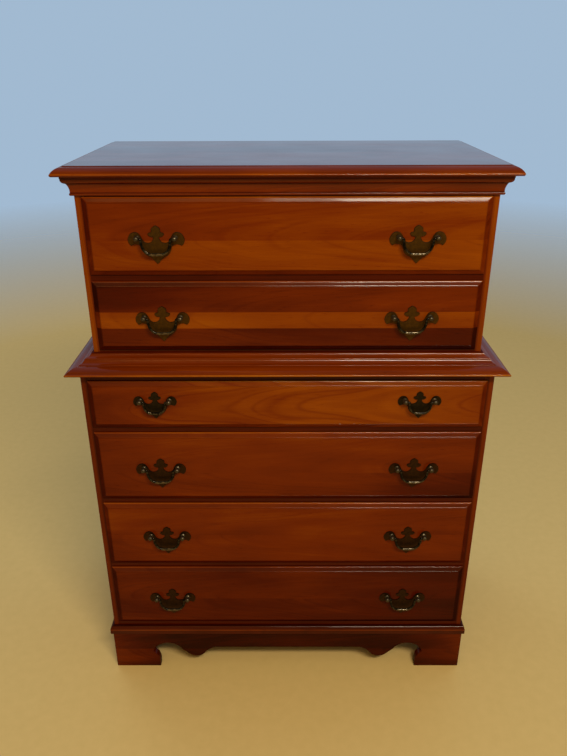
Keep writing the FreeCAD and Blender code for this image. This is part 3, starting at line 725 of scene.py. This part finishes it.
# Plate outline, right half from the lower point to the crown. A step is a corner, or a point on a curve and
# then the curve's end.
PLATE = [
    (0, -53.5),
    (6.5, -46.4, 12.6, -39.6),
    (24.4, -32.4, 29.4, -20.4),
    (32.4, -15.6, 37.4, -13.6),
    (44, -13, 50.3, -16),
    (56.5, -6, 54, 4),
    (45.7, 11, 35, 9),
    (31, 3.6, 28, -2.4),
    (18.6, -10.4, 6.9, -4),
    (5.9, -0.8, 6.3, 2),
    (10.2, 1.8, 14.0, 4),
    (16.1, 7.4, 13.2, 10.3),
    (10.6, 10.9, 8.6, 13.2),
    (8.7, 18, 5.0, 21.4),
    (2.8, 23.3, 0, 24.4),
]
PLATE_STEPS = 7
# The plate's softened rim: its width, steps and fullness. A face belongs to it, or to the plate's edge, if
# the cosine of its turn away from the front is less than this.
RIM_WIDTH = 0.7
RIM_STEPS = 2
RIM_FULLNESS = 0.6
FACE_COSINE = 0.99
# Post profile, in the same kind of steps: distance behind the bail's axis, radius.
POST = [
    (-5.85, 0.0),
    (0.0, 5.85, 4.6, 3.61),
    (6.1, 2.8, 8.0, 3.5),
    (9.3, 5.2),
    (9.8, 5.5),
    (10.5, 5.5),
    (10.5, 1.9),
    (37.5, 1.9),
    (38.0, 1.4),
    (38.0, 0.0),
]
POST_STEPS = 9
# The bore for the bail's pin: radius, and where it stops in the ball; the drill is longer than the ball.
BORE = 2.3
BORE_END = 3.1
DRILL_LENGTH = 12.0
DRILL_SIDES = 16
# Washer and nut behind the drawer front: distance behind it, radius.
WASHER = [(0, 2.1), (0, 5.0), (0.7, 5.0), (0.7, 2.1)]
NUT = [(0.7, 2.1), (0.7, 3.9), (1.0, 4.3), (3.0, 4.3), (3.4, 3.9), (3.4, 2.1)]
NUT_SIDES = 6
# Bail centre line, right half from the pin's end to the middle of the grip, and the bar's radius there. In
# the small bail the pin keeps its length, the elbow its distance from the post, and the rest is narrowed.
BAIL = [
    (40.4, 0.0, 2.15), (36.0, 0.0, 2.15), (33.0, 0.0, 2.2), (31.0, -0.5, 2.6), (29.8, -2.2, 2.9),
    (29.4, -5.0, 2.9), (29.0, -10.0, 2.85), (27.8, -15.5, 2.85), (25.6, -20.8, 2.9), (22.2, -25.4, 3.0),
    (18.0, -28.8, 3.1), (13.4, -30.8, 3.2), (9.0, -31.5, 3.3), (4.5, -31.6, 3.4), (0.0, -31.6, 3.45),
]
PIN_LENGTH = 7.0
ELBOW_INSET = 8.1
BAIL_STEPS = 4
ROUND = 20


def arc_points(start, via, end, steps):
    """Points from start to end along the circle through via, without start itself."""
    (ax, ay), (bx, by), (cx, cy) = start, via, end
    d = 2 * (ax * (by - cy) + bx * (cy - ay) + cx * (ay - by))
    ux = ((ax**2 + ay**2) * (by - cy) + (bx**2 + by**2) * (cy - ay) + (cx**2 + cy**2) * (ay - by)) / d
    uy = ((ax**2 + ay**2) * (cx - bx) + (bx**2 + by**2) * (ax - cx) + (cx**2 + cy**2) * (bx - ax)) / d
    radius = math.hypot(ax - ux, ay - uy)
    first, last = (math.atan2(py - uy, px - ux) for px, py in (start, end))
    turn = (last - first) % math.tau
    if (bx - ax) * (cy - ay) - (by - ay) * (cx - ax) < 0:
        turn -= math.tau
    angles = [first + turn * i / steps for i in range(1, steps + 1)]
    return [(ux + radius * math.cos(a), uy + radius * math.sin(a)) for a in angles]


def traced(outline, steps):
    """An outline's corners, with each of its curves divided into steps."""
    points = [outline[0]]
    for step in outline[1:]:
        points += arc_points(points[-1], step[:2], step[2:], steps) if len(step) == 4 else [step]
    return points


def mesh_from(name, bm, *finishes):
    bmesh.ops.recalc_face_normals(bm, faces=bm.faces)
    mesh = bpy.data.meshes.new(name)
    bm.to_mesh(mesh)
    bm.free()
    for finish in finishes:
        mesh.materials.append(finish)
    return mesh


def plate_mesh(name, share, finish, edge_finish):
    """Scrolled back plate with a softened front edge. Its rim has a darker finish of its own: patina and
    painted shade along the outline.
    """
    outline = traced(PLATE, PLATE_STEPS)
    outline += [(-x, z) for x, z in reversed(outline[1:-1])]
    bm = bmesh.new()
    back = [bm.verts.new((x * share * MM, 0, z * share * MM)) for x, z in outline]
    face = bm.faces.new(back)
    grown = bmesh.ops.extrude_face_region(bm, geom=[face])
    front = [item for item in grown["geom"] if isinstance(item, bmesh.types.BMVert)]
    bmesh.ops.translate(bm, verts=front, vec=(0, -PLATE_THICKNESS * MM, 0))
    rim = [edge for edge in bm.edges if all(vert in front for vert in edge.verts)]
    bmesh.ops.bevel(
        bm, geom=rim, offset=RIM_WIDTH * MM, segments=RIM_STEPS, profile=RIM_FULLNESS, affect="EDGES"
    )
    bm.normal_update()
    for side in bm.faces:
        side.material_index = abs(side.normal.y) < FACE_COSINE
    return mesh_from(name, bm, finish, edge_finish)


def lathe(bm, profile, sides, material=0, axis_shift=0.0):
    """Turn a profile of (distance along Y, radius) about the Y axis."""
    rings = []
    for along, radius in profile:
        turns = [math.tau * i / sides for i in range(sides if radius else 1)]
        y = (along + axis_shift) * MM
        spots_on_ring = [(radius * math.cos(a) * MM, y, radius * math.sin(a) * MM) for a in turns]
        rings.append([bm.verts.new(spot) for spot in spots_on_ring])
    for first, second in zip(rings, rings[1:]):
        for i in range(sides):
            j = (i + 1) % sides
            around = ((first, i), (first, j), (second, j), (second, i))
            corners = [ring[k % len(ring)] for ring, k in around]
            face = bm.faces.new(list(dict.fromkeys(corners)))
            face.smooth = True
            face.material_index = material


def bored_post(name, metal, steel):
    """The post without its nut: turned, then drilled from the inner side for the bail's pin."""
    bm = bmesh.new()
    lathe(bm, traced(POST, POST_STEPS), ROUND)
    solid = mesh_from(f"{name}_solid", bm, metal, steel)
    bm = bmesh.new()
    middle = (BORE_END - DRILL_LENGTH / 2) * MM
    bmesh.ops.create_cone(
        bm, cap_ends=True, segments=DRILL_SIDES, radius1=BORE * MM, radius2=BORE * MM,
        depth=DRILL_LENGTH * MM,
        matrix=Matrix.Translation((middle, 0, 0)) @ Matrix.Rotation(math.pi / 2, 4, "Y"),
    )
    drill = bpy.data.objects.new("post_drill", mesh_from("post_drill", bm))
    blank = bpy.data.objects.new("post_blank", solid)
    for item in (drill, blank):
        bpy.context.scene.collection.objects.link(item)
    bored = blank.modifiers.new("bore", "BOOLEAN")
    bored.object = drill
    bored.operation = "DIFFERENCE"
    bored.solver = "EXACT"
    bpy.context.view_layer.update()
    result = bpy.data.meshes.new_from_object(blank.evaluated_get(bpy.context.evaluated_depsgraph_get()))
    for item in (drill, blank):
        bpy.data.objects.remove(item)
    return result


def post_mesh(name, metal, steel):
    """Right-hand post: ball bored for the bail's pin, waisted stem, collar, bolt, and a nut behind."""
    bm = bmesh.new()
    bm.from_mesh(bored_post(name, metal, steel))
    behind = POST_REACH + PLATE_THICKNESS + FRONT_THROUGH
    lathe(bm, WASHER, ROUND, 1, behind)
    lathe(bm, NUT, NUT_SIDES, 1, behind)
    for face in bm.faces:
        if face.material_index == 1:
            face.smooth = False
    return mesh_from(name, bm, metal, steel)


def smooth(stations, steps):
    """A smooth line through stations, each span divided into steps."""
    line = []
    for i in range(len(stations) - 1):
        p0, p1, p2, p3 = (Vector(stations[min(max(k, 0), len(stations) - 1)]) for k in range(i - 1, i + 3))
        square = 2 * p0 - 5 * p1 + 4 * p2 - p3
        cube = 3 * p1 - p0 - 3 * p2 + p3
        for k in range(steps):
            t = k / steps
            line.append(0.5 * (2 * p1 + (p2 - p0) * t + square * t**2 + cube * t**3))
    return line + [Vector(stations[-1])]


def bail_mesh(name, bore, finish):
    """Swinging bail: pins, elbows, swept arms and a grip that is thickest in its middle."""
    narrowed = (bore - ELBOW_INSET) / (LARGE_BORE - ELBOW_INSET)
    right = []
    for x, z, radius in BAIL:
        pinned = x - LARGE_BORE > -PIN_LENGTH
        right.append((bore + x - LARGE_BORE if pinned else x * narrowed, z * bore / LARGE_BORE, radius))
    stations = right + [(-x, z, radius) for x, z, radius in reversed(right[:-1])]
    curve = smooth(stations, BAIL_STEPS)
    bm = bmesh.new()
    rings = []
    for i, (x, z, radius) in enumerate(curve):
        before, after = curve[max(i - 1, 0)], curve[min(i + 1, len(curve) - 1)]
        across = Vector((after[1] - before[1], 0, before[0] - after[0])).normalized()
        ring = []
        for k in range(ROUND):
            angle = math.tau * k / ROUND
            forward = Vector((0, radius * math.sin(angle), 0))
            spot = Vector((x, 0, z)) + across * radius * math.cos(angle) + forward
            ring.append(bm.verts.new(spot * MM))
        rings.append(ring)
    for first, second in zip(rings, rings[1:]):
        for k in range(ROUND):
            n = (k + 1) % ROUND
            bm.faces.new((first[k], first[n], second[n], second[k])).smooth = True
    bm.faces.new(rings[0])
    bm.faces.new(rings[-1])
    return mesh_from(name, bm, finish)


def place(name, mesh, spot, body, slot, turn=0.0):
    piece = bpy.data.objects.new(name, mesh)
    bpy.context.scene.collection.objects.link(piece)
    piece.location = spot
    piece.rotation_euler = (0, turn, 0)
    bpy.context.view_layer.update()
    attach(piece, body)
    return piece


def fit_pulls():
    """Plates, posts and bails, in place of the plain ones in the frame."""
    metals = {name: brass(name, *values) for name, values in BRASS.items()}
    rim = metals["plate_rim_patina_and_shade"]
    post = post_mesh("pull_post", metals["post_brass"], bare_steel())
    upper_plate = plate_mesh("upper_plate", 1.0, metals["plate_brass"], rim)
    lower_plate = plate_mesh("lower_plate", 1.0, metals["shaded_lower_plate_brass"], rim)
    small_plate = plate_mesh("small_plate", SMALL_BORE / LARGE_BORE, metals["small_plate_brass"], rim)
    large_bail = bail_mesh("large_bail", LARGE_BORE, metals["bail_brass"])
    small_bail = bail_mesh("small_bail", SMALL_BORE, metals["bail_brass"])
    joints = frame["record"]["behaviour"]["joints"]
    hinges = {joint["name"]: joint["pos_m"] for joint in joints if "pos_m" in joint}
    for number in FRONTS:
        small = number == 3
        half = (SMALL_BORE if small else LARGE_BORE) * MM
        plate = small_plate if small else upper_plate if number < 3 else lower_plate
        handle = small_bail if small else large_bail
        body = f"drawer_{number}"
        plates = []
        posts = []
        for hand in ("left", "right"):
            pull = f"{number}_{hand}"
            axis = Vector(hinges[f"bail_{pull}_hinge"])
            seat = axis + Vector((0, (POST_REACH + PLATE_THICKNESS) * MM, 0))
            plates.append(place(f"pull_plate_{pull}", plate, seat, body, "antique_brass"))
            for side, word, turn in ((1, "outer", 0.0), (-1, "inner", math.pi)):
                spot = axis + Vector((side * half, 0, 0))
                posts.append(place(f"pull_post_{pull}_{word}", post, spot, body, "antique_brass", turn))
            bail = place(f"bail_{pull}", handle, axis, f"bail_{pull}", "antique_brass")
            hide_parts(f"drawer_{number}_bail_{hand}")
        for piece in plates:
            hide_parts(f"drawer_{number}_pull_plates")
        for piece in posts:
            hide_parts(f"drawer_{number}_pull_posts")


# The floor is whole near the chest and fades into the background further out.
FLOOR_SIZE = 12.0
FLOOR_WHOLE = 2.6
FLOOR_GONE = 7.0
FLOOR_GRAIN = 40.0
FLOOR_ROUGHNESS = 0.8
FLOOR_UNEVEN = 0.1
FLOOR_DARK = (0.72, 0.525, 0.205)
FLOOR_PALE = (0.79, 0.58, 0.24)
# Surroundings: the colours in front and behind, and how the one gives way to the other.
SKY_FRONT = (0.3, 0.22, 0.09)
SKY_BEHIND = (0.36, 0.49, 0.64)
SKY_SLOPE = 1.4
SKY_MIDDLE = 0.4
# Lamps: where each stands, what it is aimed at, its size, power and colour. The key has a dim strip beside
# it.
WARM = (1.0, 0.88, 0.66)
CHEST = (0.0, -0.2, 0.9)
LAMPS = {
    "key": ((0.85, -2.4, 3.0), CHEST, (1.1, 0.36), 56.0, WARM),
    "key_edge": ((0.1, -2.4, 3.0), CHEST, (0.4, 0.36), 5.0, WARM),
    "fill": ((-0.5, -2.4, 3.0), CHEST, (1.35, 0.5), 5.5, (1.0, 0.5, 0.16)),
    "rear": ((-2.3, 2.6, 2.8), (0.0, 0.2, 0.7), (1.4, 1.2), 12.0, (1.0, 1.0, 1.0)),
}


def floor():
    made, shader, (x, y, z) = surface("pale_floor", Specular_IOR_Level=0.15)
    grain = noise(x * FLOOR_GRAIN, y * FLOOR_GRAIN, z, 3.0) + 0.5
    feed(shader.inputs["Base Color"], mix(grain, FLOOR_DARK, FLOOR_PALE))
    feed(shader.inputs["Roughness"], grain * FLOOR_UNEVEN + FLOOR_ROUGHNESS)
    out = (x * x + y * y).root()
    feed(shader.inputs["Alpha"], ((FLOOR_GONE - out) / (FLOOR_GONE - FLOOR_WHOLE)).clamped())
    bm = bmesh.new()
    bmesh.ops.create_grid(bm, x_segments=1, y_segments=1, size=FLOOR_SIZE)
    ground = bpy.data.objects.new("floor", mesh_from("floor", bm, made))
    bpy.context.scene.collection.objects.link(ground)


def light(name, spot, target, size, power, colour):
    lamp = bpy.data.lights.new(name, "AREA")
    lamp.shape = "RECTANGLE"
    lamp.size, lamp.size_y = size
    lamp.energy = power
    lamp.color = colour
    holder = bpy.data.objects.new(name, lamp)
    holder.location = spot
    holder.rotation_euler = (Vector(target) - Vector(spot)).to_track_quat("-Z", "Y").to_euler()
    bpy.context.scene.collection.objects.link(holder)


def studio():
    scene = bpy.context.scene
    scene.view_settings.view_transform = "Standard"
    world = bpy.data.worlds.new("studio")
    world.use_nodes = True
    sky = world.node_tree.nodes["Background"]
    toward = Field(world.node_tree.nodes.new("ShaderNodeTexCoord").outputs["Generated"])
    behind = toward.node("ShaderNodeSeparateXYZ", output=1, Vector=toward)
    feed(sky.inputs["Color"], mix((behind * SKY_SLOPE + SKY_MIDDLE).clamped(), SKY_FRONT, SKY_BEHIND))
    scene.world = world
    for name, lamp in LAMPS.items():
        light(name, *lamp)


def camera():
    lens = bpy.data.cameras.new("camera")
    lens.sensor_width = CAMERA_SENSOR
    lens.lens = CAMERA_LENS
    holder = bpy.data.objects.new("camera", lens)
    turn = Matrix.Rotation(-CAMERA_YAW, 4, "Z") @ Matrix.Rotation(math.pi / 2 - CAMERA_PITCH, 4, "X")
    holder.matrix_world = Matrix.Translation(CAMERA_PLACE) @ turn @ Matrix.Rotation(CAMERA_ROLL, 4, "Z")
    bpy.context.scene.collection.objects.link(holder)
    bpy.context.scene.camera = holder


dress_fronts()
dress_case()
dress_inside()
fit_pulls()
floor()
studio()
camera()
